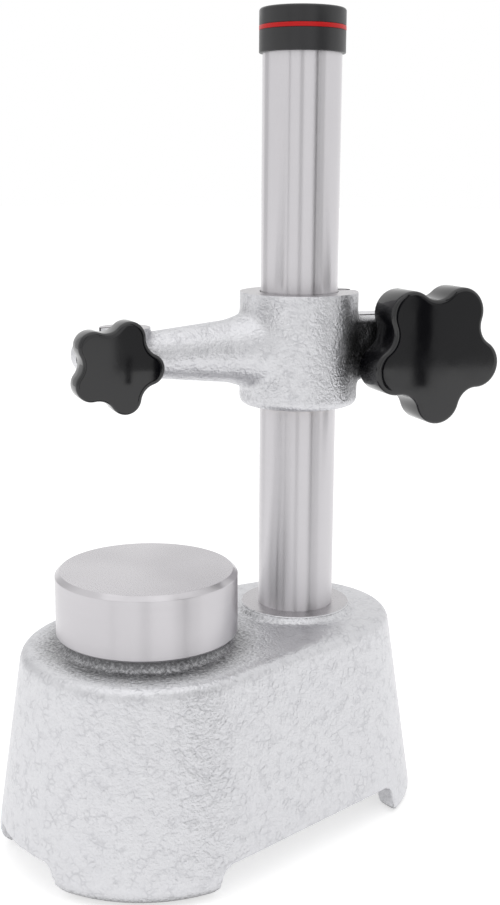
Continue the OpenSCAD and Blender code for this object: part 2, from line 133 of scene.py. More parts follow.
# Where the arm and the lug flow into the sleeve: how far inside or outside the sleeve's wall, how far each
# way from there, and how much of the sleeve's ends is left alone
ARM_BLEND_IN = 3 * MM
ARM_BLEND_REACH = 11 * MM
LUG_BLEND_OUT = 1 * MM
LUG_BLEND_REACH = 7 * MM
BLEND_END = 3 * MM

# Gaps where a cap or an insert sits in or on another piece
SEAT_PLAY = 0.01 * MM
INSERT_END_PLAY = 0.05 * MM

# How far a cutting shape reaches past what it cuts
PAST = 1 * MM

# Points nearer to each other than this count as one
SAME = 0.001 * MM

# A face nearer than this to where a tool cut counts as cut by it
NEAR = 0.05 * MM

# Faces round a small, a middling and a large turned shape
SMALL, MIDDLE, LARGE = 96, 192, 256


class Clamp:
    """One clamp screw with its ears and its star knob; sizes are given in millimetres and kept in metres.

    y is the place of the screw's axis along the carrier, and turn the knob's turn about it, in degrees.
    """

    def __init__(self, y, thread, ear_r, ear_half, slot, tip_r, hollow_r, lobe_r, thickness, edge, dome_r,
                 hub_r, hub_len, turn):
        # The nut over its corners, the insert and the washer below the knob follow the thread
        self.thread_r = thread / 2 * MM
        self.nut_r = (1.65 * thread - 0.2) / 2 / math.cos(math.radians(30)) * MM
        self.insert_r = 0.75 * thread * MM
        washer_t = 0.2 * thread * MM
        self.y = y * MM
        self.ear_r = ear_r * MM
        self.ear_half = ear_half * MM
        self.slot = slot * MM
        self.tip_r = tip_r * MM
        self.hollow_r = hollow_r * MM
        self.lobe_r = lobe_r * MM
        self.thickness = thickness * MM
        self.edge = edge * MM
        self.dome_r = dome_r * MM
        self.hub_r = hub_r * MM
        self.hub_len = hub_len * MM
        self.turn = math.radians(turn)
        self.knob_low = self.ear_half + washer_t


COLUMN_CLAMP = Clamp(y=32.2, thread=8, ear_r=8.6, ear_half=9, slot=2.6, tip_r=20.4, hollow_r=14.9,
                     lobe_r=6.8, thickness=12, edge=1.1, dome_r=330, hub_r=9, hub_len=2.6, turn=2)
STEM_CLAMP = Clamp(y=-60, thread=5, ear_r=5.6, ear_half=6.5, slot=1.6, tip_r=12.6, hollow_r=9.5,
                   lobe_r=4.2, thickness=7.3, edge=1.0, dome_r=150, hub_r=5.6, hub_len=6.6, turn=13)


# Modelling helpers
def new_piece(name, add, **how):
    """Adds a primitive as the only selected object and opens it in edit mode."""
    bpy.ops.object.select_all(action="DESELECT")
    add(**how)
    piece = bpy.context.object
    piece.name = piece.data.name = name
    bpy.ops.object.mode_set(mode="EDIT")
    bpy.ops.mesh.select_mode(type="VERT")
    return piece


def close_piece(piece):
    """Merges the seams, turns the faces outwards and puts the piece's place into its mesh."""
    bpy.ops.mesh.select_all(action="SELECT")
    bpy.ops.mesh.remove_doubles(threshold=SAME)
    bpy.ops.mesh.normals_make_consistent(inside=False)
    bpy.ops.object.mode_set(mode="OBJECT")
    settle(piece)
    return piece


def make_active(piece):
    bpy.ops.object.select_all(action="DESELECT")
    piece.select_set(True)
    bpy.context.view_layer.objects.active = piece


def settle(piece, place=None):
    """Moves a piece to its place and applies it, so that the object itself stays at the origin."""
    make_active(piece)
    if place is not None:
        piece.matrix_world = place @ piece.matrix_world
    bpy.ops.object.transform_apply(location=True, rotation=True, scale=True)


def pick(piece, test):
    """Selects only the vertices of the edited piece that pass a test on their place."""
    bpy.ops.mesh.select_all(action="DESELECT")
    shape = bmesh.from_edit_mesh(piece.data)
    for vertex in shape.verts:
        vertex.select_set(test(vertex.co))
    shape.select_flush(True)
    bmesh.update_edit_mesh(piece.data)


def pick_faces(piece, test):
    """Selects only the faces of the edited piece that pass a test on their middle and normal."""
    bpy.ops.mesh.select_mode(type="FACE")
    bpy.ops.mesh.select_all(action="DESELECT")
    shape = bmesh.from_edit_mesh(piece.data)
    for face in shape.faces:
        face.select_set(test(face.calc_center_median(), face.normal))
    bmesh.update_edit_mesh(piece.data)


def arc(x, y, r, start, end, steps):
    """Points of an arc in the plane, from start to end in degrees."""
    turns = [math.radians(start + (end - start) * i / steps) for i in range(steps + 1)]
    return [(x + r * math.cos(a), y + r * math.sin(a)) for a in turns]


def trace(name, points):
    """Draws an open line through points by extruding one vertex along it."""
    piece = new_piece(name, bpy.ops.mesh.primitive_plane_add, size=MM)
    bpy.ops.mesh.merge(type="CENTER")
    here = Vector(points[0])
    bpy.ops.transform.translate(value=here)
    for point in points[1:]:
        step = Vector(point) - here
        bpy.ops.mesh.extrude_region_move(TRANSFORM_OT_translate={"value": step})
        here = Vector(point)
    return piece


def turned(name, profile, steps=MIDDLE):
    """Spins a half profile of (radius, height) points about the upright axis."""
    piece = trace(name, [(r, 0, z) for r, z in profile])
    bpy.ops.mesh.select_all(action="SELECT")
    bpy.ops.mesh.spin(steps=steps, angle=math.tau, center=(0, 0, 0), axis=(0, 0, 1))
    return close_piece(piece)


def plate(name, outline, thickness):
    """Fills a closed flat outline at z = 0 and extrudes it upwards."""
    piece = trace(name, [(x, y, 0) for x, y in outline])
    bpy.ops.mesh.select_all(action="SELECT")
    bpy.ops.mesh.remove_doubles(threshold=SAME)
    bpy.ops.mesh.edge_face_add()
    bpy.ops.mesh.extrude_region_move(TRANSFORM_OT_translate={"value": (0, 0, thickness)})
    return close_piece(piece)


def rod(name, r, low, high, steps=SMALL):
    """Plain cylinder on the upright axis between two heights."""
    piece = new_piece(name, bpy.ops.mesh.primitive_cylinder_add, vertices=steps, radius=r, depth=high - low,
                      location=(0, 0, (low + high) / 2))
    return close_piece(piece)


def block(name, low, high):
    """Box between two corners."""
    low, high = Vector(low), Vector(high)
    piece = new_piece(name, bpy.ops.mesh.primitive_cube_add, size=1, location=(low + high) / 2)
    bpy.ops.transform.resize(value=high - low)
    return close_piece(piece)


def combine(piece, others, operation):
    """Adds other closed pieces to this one, or cuts them out of it, and removes them."""
    for other in others:
        step = piece.modifiers.new("combine", "BOOLEAN")
        step.operation = operation
        step.solver = "MANIFOLD"
        step.object = other
        make_active(piece)
        bpy.ops.object.modifier_apply(modifier=step.name)
        bpy.data.objects.remove(other)


def cast_skin(piece, voxel, passes):
    """Remeshes a rough blank into one skin and smooths it, which rounds its edges as in a mould."""
    make_active(piece)
    remesh = piece.modifiers.new("skin", "REMESH")
    remesh.mode = "VOXEL"
    remesh.voxel_size = voxel
    bpy.ops.object.modifier_apply(modifier=remesh.name)
    smooth = piece.modifiers.new("smooth", "SMOOTH")
    smooth.factor = 0.5
    smooth.iterations = passes
    bpy.ops.object.modifier_apply(modifier=smooth.name)


def shade(piece, angle=35):
    make_active(piece)
    bpy.ops.object.shade_smooth_by_angle(angle=math.radians(angle))


# Base
def wall_radius(foot_r, z, height, upper, lower):
    """Radius of a drafted round wall at height z, with rounded upper and lower edges."""
    slant = math.tan(DRAFT)
    if z < lower * (1 + math.sin(DRAFT)):
        middle = foot_r - lower * slant - lower / math.cos(DRAFT)
        return middle + math.sqrt(max(lower ** 2 - (z - lower) ** 2, 0))
    if z > height - upper * (1 - math.sin(DRAFT)):
        middle = foot_r - (height - upper) * slant - upper / math.cos(DRAFT)
        return middle + math.sqrt(max(upper ** 2 - (z - height + upper) ** 2, 0))
    return foot_r - z * slant


def heights(low, high, upper, lower, steps=10):
    """Levels that follow a rounded lower edge, a plain wall and a rounded upper edge."""
    up = [high - upper + upper * math.sin(math.pi / 2 * i / steps) for i in range(steps + 1)]
    down = [lower - lower * math.cos(math.pi / 2 * i / steps) for i in range(steps + 1)] if lower else [low]
    return [z for z in down if z >= low] + up


def teardrop(name, front_r, rear_r, low, high, upper, front_lower, rear_lower):
    """Raises the base's outline level by level, with each round end drawn in about its own axis."""
    levels = heights(low, high, upper, max(front_lower, rear_lower))

    def ends(z):
        return (wall_radius(front_r, z, high, upper, front_lower),
                wall_radius(rear_r, z, high, upper, rear_lower))

    front, rear = ends(levels[0])
    tilt = math.degrees(SIDE_ANGLE)
    outline = (arc(0, 0, front, -180 - tilt, tilt, steps=60)
               + arc(0, THROAT, rear, tilt, 180 - tilt, steps=60))
    piece = trace(name, [(x, y, levels[0]) for x, y in outline + outline[:1]])
    bpy.ops.mesh.select_all(action="SELECT")
    bpy.ops.mesh.remove_doubles(threshold=SAME)
    bpy.ops.mesh.edge_face_add()
    for below, z in zip(levels, levels[1:]):
        bpy.ops.mesh.extrude_region_move(TRANSFORM_OT_translate={"value": (0, 0, z - below)})
        new_front, new_rear = ends(z)
        for is_front, k in ((True, new_front / front), (False, new_rear / rear)):
            pick(piece, lambda p: abs(p.z - z) < SAME and (p.y < THROAT / 2) == is_front)
            middle = (0, 0 if is_front else THROAT, z)
            bpy.ops.transform.resize(value=(k, k, 1), center_override=middle)
        pick(piece, lambda p: abs(p.z - z) < SAME)
        front, rear = new_front, new_rear
    return close_piece(piece)


def arch_outline(start, end):
    """Section of an arch over the ground: flared at its feet and round in its upper corners."""
    def side(edge, way):
        foot = arc(edge + way * ARCH_FLARE, ARCH_FLARE, ARCH_FLARE, -90, -90 - way * 90, 8)
        corner = arc(edge - way * ARCH_CORNER, ARCH_H - ARCH_CORNER, ARCH_CORNER, 90 - way * 90, 90, 8)
        return [(edge + way * ARCH_FLARE, -2 * PAST)] + foot + corner
    outline = side(end, 1) + side(start, -1)[::-1]
    return outline + outline[:1]


def build_base():
    """Cast blank with its hollow, arches, socket, boss, rib, foot ring and pedestal, then machined."""
    slant = math.tan(DRAFT)
    front_foot, rear_foot = FRONT_R + BASE_H * slant, REAR_R + BASE_H * slant
    inset = WALL / math.cos(DRAFT)
    base = teardrop("base_casting_painted", front_foot, rear_foot, 0, BASE_H, TOP_ROUND,
                    FRONT_FOOT_ROUND, REAR_FOOT_ROUND)
    hollow = teardrop("hollow", front_foot - inset, rear_foot - inset, -2 * PAST, BASE_H - TOP_WALL,
                      HOLLOW_ROUND, 0, 0)
    side_arch = plate("side_arch", arch_outline(-SIDE_ARCH_FRONT, SIDE_ARCH_REAR), 4 * front_foot)
    outline_upright_along_y = Matrix(((0, 0, 1, 0), (1, 0, 0, 0), (0, 1, 0, 0), (0, 0, 0, 1)))
    settle(side_arch, Matrix.Translation((-2 * front_foot, THROAT, 0)) @ outline_upright_along_y)
    front_arch = plate("front_arch", arch_outline(-FRONT_ARCH_HALF, FRONT_ARCH_HALF), 2 * front_foot)
    settle(front_arch, Matrix.Rotation(math.pi / 2, 4, "X"))
    combine(base, [hollow, side_arch, front_arch], "DIFFERENCE")
    under_top = BASE_H - TOP_WALL + PAST
    socket = rod("socket", SOCKET_R, SOCKET_LOW, under_top)
    table_boss = rod("table_boss", TABLE_BOSS_R, BASE_H - TOP_WALL - TABLE_BOSS_DEPTH, under_top)
    rib = block("rib", (-RIB_T / 2, 0, BASE_H - TOP_WALL - RIB_DEPTH), (RIB_T / 2, THROAT, under_top))
    shoulder = BASE_H + FOOT_RING_H - FOOT_RING_ROUND
    ring = turned("foot_ring", [(0, BASE_H - PAST), (FOOT_RING_R, BASE_H - PAST), (FOOT_RING_R, shoulder)]
                  + arc(FOOT_RING_R - FOOT_RING_ROUND, shoulder, FOOT_RING_ROUND, 0, 90, 6)
                  + [(0, BASE_H + FOOT_RING_H)])
    fillet_r = PEDESTAL_R + PEDESTAL_FILLET
    pedestal = turned("pedestal", [(0, BASE_H - PAST), (fillet_r, BASE_H - PAST)]
                      + arc(fillet_r, BASE_H + PEDESTAL_FILLET, PEDESTAL_FILLET, 270, 180, 6)
                      + [(PEDESTAL_R, BASE_H + PEDESTAL_H), (0, BASE_H + PEDESTAL_H)])
    for piece in (socket, ring):
        settle(piece, Matrix.Translation((0, THROAT, 0)))
    combine(base, [socket, table_boss, rib, ring, pedestal], "UNION")
    cast_skin(base, voxel=0.8 * MM, passes=5)
    machine_base(base)
    settle(base, Matrix.Translation((0, 0, GROUND)))
    return base


def machine_base(base):
    """Faces and bores that are cut after casting."""
    wide = 3 * FRONT_R
    sole = block("sole", (-wide, -wide, -5 * PAST), (wide, 2 * wide, 0))
    bore = rod("bore", COLUMN_R + COLUMN_PLAY, COLUMN_SEAT, 2 * BASE_H, MIDDLE)
    screw_hole = rod("screw_hole", COLUMN_SCREW_HOLE_R, 0, BASE_H)
    land_top = BASE_H + FOOT_RING_H - LAND_SINK
    land_r = FOOT_RING_R - LAND_IN
    land = turned("ring_land", [(0, BASE_H), (land_r, BASE_H), (land_r, land_top - LAND_EDGE),
                                (land_r - LAND_EDGE, land_top), (0, land_top)])
    settle(land, Matrix.Translation((0, THROAT, 0)))
    combine(base, [land], "UNION")
    ring_face = rod("ring_face", 1.2 * FOOT_RING_R, land_top, BASE_H * 1.2, MIDDLE)
    for piece in (bore, screw_hole, ring_face):
        settle(piece, Matrix.Translation((0, THROAT, 0)))
    table_hole = rod("table_hole", TABLE_SCREW_HOLE_R, 0, 2 * BASE_H)
    boss_low = BASE_H - TOP_WALL - TABLE_BOSS_DEPTH
    washer_room = rod("washer_room", WASHER_ROOM_R, boss_low - RIB_DEPTH, boss_low)
    combine(base, [sole, bore, screw_hole, ring_face, table_hole, washer_room], "DIFFERENCE")


# Carrier
def build_carrier():
    """Cast blank of the sleeve, tapered arm, hub, lug and ears, blended where they meet, then machined."""
    sleeve = turned("carrier_casting_painted", [(0, -SLEEVE_H / 2)]
                    + arc(SLEEVE_R - SLEEVE_ROUND, SLEEVE_ROUND - SLEEVE_H / 2, SLEEVE_ROUND, -90, 0, 8)
                    + [(SLEEVE_R, SLEEVE_H / 2 + PAST), (0, SLEEVE_H / 2 + PAST)])
    taper = (ARM_ROOT_R - ARM_END_R) / (THROAT - SLEEVE_R)
    arm = turned("arm", [(0, 0), (ARM_ROOT_R + taper * SLEEVE_R, 0), (ARM_END_R, THROAT), (0, THROAT)], SMALL)
    flare_start = SLEEVE_R - ARM_FLARE_LEN / 2
    flare_end = flare_start + ARM_FLARE_LEN
    flare = turned("flare", [(0, flare_start), (ARM_FLARE_R, flare_start),
                             (ARM_ROOT_R - taper * ARM_FLARE_LEN / 2, flare_end), (0, flare_end)], SMALL)
    for piece in (arm, flare):
        settle(piece, Matrix.Rotation(math.pi / 2, 4, "X"))
    hub = rod("hub", HUB_R, -HUB_H / 2 - PAST, HUB_H / 2 + PAST)
    settle(hub, Matrix.Translation((0, -THROAT, 0)))
    ears = [across(rod("ear", clamp.ear_r, -clamp.ear_half - PAST, clamp.ear_half + PAST), clamp.y)
            for clamp in (STEM_CLAMP, COLUMN_CLAMP)]
    lug = block("lug", (-COLUMN_CLAMP.ear_half - PAST, 0, -COLUMN_CLAMP.ear_r),
                (COLUMN_CLAMP.ear_half + PAST, COLUMN_CLAMP.y, COLUMN_CLAMP.ear_r))
    combine(sleeve, [arm, flare, hub, lug] + ears, "UNION")
    cast_skin(sleeve, voxel=0.45 * MM, passes=8)
    blend_roots(sleeve)
    machine_carrier(sleeve)
    settle(sleeve, CARRIER_PLACE)
    return sleeve


def across(piece, y):
    """Turns an upright piece so that its top points along the carrier's +X, at a distance y along it."""
    settle(piece, Matrix.Translation((0, y, 0)) @ Matrix.Rotation(math.pi / 2, 4, "Y"))
    return piece


def blend_roots(carrier):
    """Softens the casting's inner corners where the arm and the lug leave the sleeve."""
    group = carrier.vertex_groups.new(name="roots")
    for vertex in carrier.data.vertices:
        x, y, z = vertex.co
        arm_part = max(0, 1 - abs(-y - SLEEVE_R + ARM_BLEND_IN) / ARM_BLEND_REACH)
        lug_part = max(0, 1 - abs(y - SLEEVE_R - LUG_BLEND_OUT) / LUG_BLEND_REACH)
        weight = min(1, 2 * max(arm_part, lug_part))
        if weight > 0 and abs(z) < SLEEVE_H / 2 - BLEND_END:
            group.add([vertex.index], weight, "REPLACE")
    smooth = carrier.modifiers.new("blend", "SMOOTH")
    smooth.vertex_group = group.name
    smooth.factor = 0.5
    smooth.iterations = 60
    make_active(carrier)
    bpy.ops.object.modifier_apply(modifier=smooth.name)


def machine_carrier(carrier):
    """Bores, slots and faces that are cut after casting."""
    half = SLEEVE_H / 2
    wide = 4 * SLEEVE_R
    cuts = [block("top_face", (-wide, -wide, half), (wide, wide, half + 5 * PAST)),
            rod("bush_bore", BUSH_BORE_R, -half - PAST, half - BUSH_LIP, MIDDLE),
            rod("lip_bore", LIP_R, -half, half + 2 * PAST, MIDDLE)]
    stem_bore = rod("stem_bore", STEM_BORE_R, -HUB_H, HUB_H)
    settle(stem_bore, Matrix.Translation((0, -THROAT, 0)))
    cuts.append(stem_bore)
    for turn in (math.pi, 0):
        hub_face = rod("hub_face", HUB_R + 3 * PAST, HUB_H / 2, HUB_H)
        settle(hub_face, Matrix.Translation((0, -THROAT, 0)) @ Matrix.Rotation(turn, 4, "X"))
        cuts.append(hub_face)
    slots = ((COLUMN_CLAMP, 0, 2 * COLUMN_CLAMP.y, half + PAST),
             (STEM_CLAMP, STEM_CLAMP.y - 2 * STEM_CLAMP.ear_r, -THROAT, HUB_H / 2 + PAST))
    for clamp, start, end, reach in slots:
        cuts.append(block("slot", (-clamp.slot / 2, start, -reach), (clamp.slot / 2, end, reach)))
        cuts.append(across(rod("stud_hole", clamp.thread_r + STUD_HOLE_PLAY, -2 * wide, 2 * wide), clamp.y))
        cuts.append(across(rod("nut_pocket", clamp.nut_r, -clamp.ear_half - 3 * PAST,
                               NUT_POCKET - clamp.ear_half, steps=6), clamp.y))
        for turn in (math.pi, 0):
            ear_face = rod("ear_face", 1.25 * clamp.ear_r, clamp.ear_half, clamp.ear_half + 4 * PAST)
            across(ear_face, 0)
            settle(ear_face, Matrix.Translation((0, clamp.y, 0)) @ Matrix.Rotation(turn, 4, "Z"))
            cuts.append(ear_face)
    combine(carrier, cuts, "DIFFERENCE")


# Knobs
LOBES = 5

# The knob's face is drawn in to these shares of its outline, ring by ring, so that it can be domed
FACE_RINGS = (0.95, 0.87, 0.76, 0.64, 0.52, 0.4, 0.28, 0.16, 0.06)


def star_outline(clamp):
    """Round lobes and as many round hollows, which run into each other without a corner."""
    half_pitch = 180 / LOBES
    along, aside = math.cos(math.radians(half_pitch)), math.sin(math.radians(half_pitch))
    lobe_x = clamp.tip_r - clamp.lobe_r
    hollow = ((clamp.lobe_r ** 2 - lobe_x ** 2 - clamp.hollow_r ** 2 + 2 * lobe_x * clamp.hollow_r * along)
              / (2 * (clamp.hollow_r - lobe_x * along - clamp.lobe_r)))
    hollow_x = clamp.hollow_r + hollow
    lean = math.degrees(math.atan2(hollow_x * aside, hollow_x * along - lobe_x))
    outline = []
    for lobe in range(LOBES):
        at = 2 * half_pitch * lobe
        between = at + half_pitch
        a, b = math.radians(at), math.radians(between)
        outline += arc(lobe_x * math.cos(a), lobe_x * math.sin(a), clamp.lobe_r,
                       at - lean, at + lean, 16)[:-1]
        outline += arc(hollow_x * math.cos(b), hollow_x * math.sin(b), hollow,
                       at + lean + 180, at + 2 * half_pitch + 180 - lean, 9)[:-1]
    return outline + outline[:1]


def build_knob(name, clamp):
    """Lobed plate with rounded rims and a slightly domed face, on a short hub."""
    knob = plate(name, star_outline(clamp), clamp.thickness)
    bpy.ops.object.mode_set(mode="EDIT")
    for level in (0, clamp.thickness):
        bpy.ops.mesh.select_mode(type="VERT")
        pick(knob, lambda p: abs(p.z - level) < SAME)
        bpy.ops.mesh.bevel(offset=clamp.edge, segments=5, profile=0.5, affect="EDGES", clamp_overlap=False)
    pick_faces(knob, lambda middle, normal: normal.z > 0.99 and middle.z > clamp.thickness - 10 * SAME)
    share = 1
    for target in FACE_RINGS:
        bpy.ops.mesh.extrude_region_move(TRANSFORM_OT_translate={"value": (0, 0, 0)})
        bpy.ops.transform.resize(value=(target / share, target / share, 1),
                                 center_override=(0, 0, clamp.thickness))
        share = target
    bpy.ops.mesh.merge(type="CENTER")
    shape = bmesh.from_edit_mesh(knob.data)
    for vertex in shape.verts:
        if vertex.co.z > clamp.thickness / 2:
            vertex.co.z -= vertex.co.xy.length_squared / (2 * clamp.dome_r)
    bmesh.update_edit_mesh(knob.data)
    close_piece(knob)
    settle(knob, Matrix.Translation((0, 0, clamp.hub_len)) @ Matrix.Rotation(clamp.turn, 4, "Z"))
    hub_edge, hub_high = 0.4 * MM, clamp.hub_len + 2 * PAST
    hub = turned("hub", [(0, 0), (clamp.hub_r - hub_edge, 0), (clamp.hub_r, hub_edge),
                         (clamp.hub_r, hub_high), (0, hub_high)], SMALL)
    combine(knob, [hub], "UNION")
    room = rod("insert_room", clamp.insert_r + SEAT_PLAY, -PAST,
               clamp.hub_len + clamp.thickness / 2 + INSERT_END_PLAY)
    combine(knob, [room], "DIFFERENCE")
    settle(knob, Matrix.Translation((0, 0, clamp.knob_low)))
    across(knob, clamp.y)
    settle(knob, CARRIER_PLACE)
    return knob


# Turned parts
def build_table():
    """Round table with a threaded hole from below; its face lies at height 0."""
    low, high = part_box("measuring_table")
    r, thickness = (high.x - low.x) / 2, high.z - low.z
    chamfer, foot, soft = 1.3 * MM, 0.6 * MM, 0.12 * MM
    hole_r, hole_depth = 3 * MM, 10 * MM
    profile = ([(0, hole_depth - thickness), (hole_r, hole_depth - thickness), (hole_r, -thickness),
                (r - foot, -thickness), (r, foot - thickness), (r, -chamfer - soft)]
               + arc(r - soft, -chamfer, soft, 0, 45, 3)[1:]
               + arc(r - chamfer - soft * 0.4, -soft, soft, 45, 90, 3) + [(0, 0)])
    return turned("measuring_table_lapped", profile, LARGE)


def build_column():
    """Bar with chamfered ends and a threaded hole from below."""
    low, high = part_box("column")
    r, edge = (high.x - low.x) / 2, 1 * MM
    hole_r, hole_depth = 4 * MM, 18 * MM
    profile = [(0, low.z + hole_depth), (hole_r, low.z + hole_depth), (hole_r, low.z), (r - edge, low.z),
               (r, low.z + edge), (r, high.z - edge), (r - edge, high.z), (0, high.z)]
    column = turned("column_ground", profile, LARGE)
    settle(column, Matrix.Translation((0, THROAT, 0)))
    return column


def build_cap():
    """Cap with a bore for the column's end and a groove for the ring."""
    low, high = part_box("column_cap")
    r, height = (high.x - low.x) / 2, high.z - low.z
    groove_low, groove_high, groove_depth, groove_edge = 6 * MM, 7.2 * MM, 0.4 * MM, 0.12 * MM
    bore_r, bore_top, lip, edge = COLUMN_R + SEAT_PLAY, height - 3.4 * MM, 0.25 * MM, 0.8 * MM
    profile = ([(0, bore_top), (bore_r, bore_top), (bore_r, lip), (COLUMN_R + lip, 0)]
               + arc(r - lip, lip, lip, -90, 0, 4)
               + [(r, groove_low - groove_edge), (r - groove_edge, groove_low),
                  (r - groove_depth, groove_low), (r - groove_depth, groove_high),
                  (r - groove_edge, groove_high), (r, groove_high + groove_edge)]
               + arc(r - edge, height - edge, edge, 0, 90, 8) + [(0, height)])
    cap = turned("column_cap_moulded", profile)
    settle(cap, Matrix.Translation((0, THROAT, low.z)))
    return cap


def build_ring():
    """Thin ring with rounded outer edges."""
    low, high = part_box("cap_ring")
    r, height = (high.x - low.x) / 2, high.z - low.z
    inner, edge = r - 0.44 * MM, 0.18 * MM
    profile = ([(inner, 0)] + arc(r - edge, edge, edge, -90, 0, 4)
               + arc(r - edge, height - edge, edge, 0, 90, 4) + [(inner, height), (inner, 0)])
    ring = turned("cap_ring_moulded", profile)
    settle(ring, Matrix.Translation((0, THROAT, low.z)))
    return ring


# Finishes
class Value:
    """What a node gives; arithmetic on a number adds Math nodes."""

    def __init__(self, nodes, socket):
        self.nodes = nodes
        self.socket = socket

    def math(self, operation, *values):
        return self.nodes.node("ShaderNodeMath", {"operation": operation}, dict(enumerate(values)))

    def __add__(self, other):
        return self.math("ADD", self, other)

    def __sub__(self, other):
        return self.math("SUBTRACT", self, other)

    def __rsub__(self, other):
        return self.math("SUBTRACT", other, self)

    def __mul__(self, other):
        return self.math("MULTIPLY", self, other)

    __radd__ = __add__
    __rmul__ = __mul__


class Nodes:
    """Nodes of a material or of the world, which start from none unless the first ones are kept."""

    def __init__(self, owner, keep=False):
        owner.use_nodes = True
        self.tree = owner.node_tree
        if not keep:
            self.tree.nodes.clear()

    def feed(self, socket, value):
        """Links what another node gives to a socket, or sets a plain value on it."""
        if isinstance(value, Value):
            self.tree.links.new(value.socket, socket)
        else:
            socket.default_value = value

    def node(self, kind, settings, inputs, output=0):
        """Adds a node with its settings and its inputs, and gives one of its outputs."""
        made = self.tree.nodes.new(kind)
        for key, value in settings.items():
            setattr(made, key, value)
        for key, value in inputs.items():
            self.feed(made.inputs[key], value)
        return Value(self, made.outputs[output]) if made.outputs else None

    def mix(self, factor, first, second):
        """One of two shaders, or some of each."""
        return self.node("ShaderNodeMixShader", {}, {0: factor, 1: first, 2: second})


class Finish(Nodes):
    """A material: one Principled shader, whose constants are set on its own sockets, and what feeds it."""

    def __init__(self, name, **constants):
        self.material = bpy.data.materials.new(name)
        super().__init__(self.material, keep=True)
        self.shader = self.tree.nodes["Principled BSDF"]
        for socket, value in constants.items():
            self.set(socket.replace("_", " "), value)
        self.place = self.node("ShaderNodeTexCoord", {}, {}, "Object")

    def set(self, socket, value):
        self.feed(self.shader.inputs[socket], value)

    def scaled(self, x, y, z):
        return self.node("ShaderNodeMapping", {}, {"Vector": self.place, "Scale": (x, y, z)})

    def noise(self, vector, scale, detail=2.0, roughness=0.5, output=0):
        return self.node("ShaderNodeTexNoise", {}, {"Vector": vector, "Scale": scale, "Detail": detail,
                                                    "Roughness": roughness}, output)

    def span(self, value, low, high, to_low, to_high):
        """Number that goes smoothly from to_low to to_high while the value goes from low to high."""
        return self.node("ShaderNodeMapRange", {"interpolation_type": "SMOOTHSTEP"},
                         {"Value": value, "From Min": low, "From Max": high,
                          "To Min": to_low, "To Max": to_high})

    def blend(self, factor, first, second):
        """Colour between two colours."""
        return self.node("ShaderNodeMix", {"data_type": "RGBA"}, {0: factor, 6: first, 7: second}, 2)

    def relief(self, height, distance, strength=1.0):
        """Fine relief by a Bump node; the distance is in metres."""
        self.set("Normal", self.node("ShaderNodeBump", {}, {"Height": height, "Distance": distance,
                                                            "Strength": strength}))


def grey(value, cool=1.0):
    return (value, value, value * cool, 1)


def hammer_paint():
    """Pale metallic enamel, drawn together into soft pebbled cells, with painted shade in its colour: darker
    in tight corners and under the table, from ambient occlusion.
    """
    paint = Finish("hammer_paint", Metallic=0.9)
    cells, pull, painted_shade_reach = 470.0, 1.1 * MM, 14 * MM
    feet_low, feet_high = GROUND + 6.4 * MM, GROUND + 19.4 * MM
    drift = paint.node("ShaderNodeVectorMath", {"operation": "MULTIPLY_ADD"},
                       {0: paint.noise(paint.place, 520.0, 1.0, output="Color"),
                        1: (pull, pull, pull), 2: paint.place})
    edge = paint.node("ShaderNodeTexVoronoi", {"feature": "DISTANCE_TO_EDGE"},
                      {"Vector": drift, "Scale": cells})
    dome = paint.node("ShaderNodeTexVoronoi", {"feature": "SMOOTH_F1"},
                      {"Vector": drift, "Scale": cells, "Smoothness": 0.5})
    broken = paint.noise(paint.place, 300.0, 1.0)
    grain = paint.noise(paint.place, 1300.0, 2.0, 0.6)
    mottle = paint.noise(paint.place, 140.0, 3.0)
    crack = (1 - paint.span(edge, 0.0, 0.19, 0.0, 1.0)) * paint.span(broken, 0.40, 0.70, 0.0, 1.0)
    tone = paint.blend(paint.span(mottle + grain, 0.7, 1.3, 0.0, 1.0), grey(0.65, 1.035), grey(0.695, 1.03))
    marked = paint.blend(crack * 0.36, tone, grey(0.40, 1.06))
    # Painted shade: ambient occlusion turns the enamel's colour toward dark grey(0.10) in tight corners,
    # under the table's overhang and inside the arches, with less of it near the bench
    corner = paint.node("ShaderNodeAmbientOcclusion", {"samples": 8}, {"Distance": painted_shade_reach}, "AO")
    height = paint.node("ShaderNodeSeparateXYZ", {}, {"Vector": paint.place}, "Z")
    less_shade_near_bench = paint.span(height, feet_low, feet_high, 0.42, 0.0)
    outside_painted_shade = paint.span(corner + grain * 0.5 + less_shade_near_bench, 0.72, 1.12, 0.0, 1.0)
    # Base colour: the enamel's own tone and crack marks, darkened by the painted shade from the occlusion
    # mask
    paint.set("Base Color", paint.blend(outside_painted_shade, grey(0.10, 1.04), marked))
    paint.set("Roughness", paint.span(mottle, 0.3, 0.7, 0.31, 0.39))
    paint.relief(0.25 * (1 - dome) + grain * 0.62 - crack * 0.12, 0.4 * MM)
    return paint.material


def ground_steel():
    """Bar ground to size: the fine marks that run round it draw reflections out along it."""
    steel = Finish("ground_steel", Metallic=1.0, Anisotropic=1.0, Anisotropic_Rotation=0.25)
    marks = steel.noise(steel.scaled(90.0, 90.0, 5200.0), 1.0, 3.0, 0.6)
    cloud = steel.noise(steel.scaled(60.0, 60.0, 25.0), 1.0, 2.0)
    steel.set("Base Color", steel.blend(cloud, (0.585, 0.57, 0.59, 1), (0.635, 0.62, 0.64, 1)))
    steel.set("Roughness", steel.span(marks, 0.25, 0.75, 0.29, 0.34))
    return steel.material


def turned_steel():
    """Side of the table: fine tool lines run round it."""
    steel = Finish("turned_steel", Metallic=1.0, Anisotropic=0.9, Anisotropic_Rotation=0.25)
    lines = steel.noise(steel.scaled(60.0, 60.0, 6500.0), 1.0, 3.0, 0.6)
    cloud = steel.noise(steel.place, 45.0, 3.0)
    steel.set("Base Color", steel.blend(cloud, (0.55, 0.535, 0.555, 1), (0.61, 0.595, 0.615, 1)))
    steel.set("Roughness", steel.span(lines, 0.3, 0.7, 0.28, 0.33))
    return steel.material


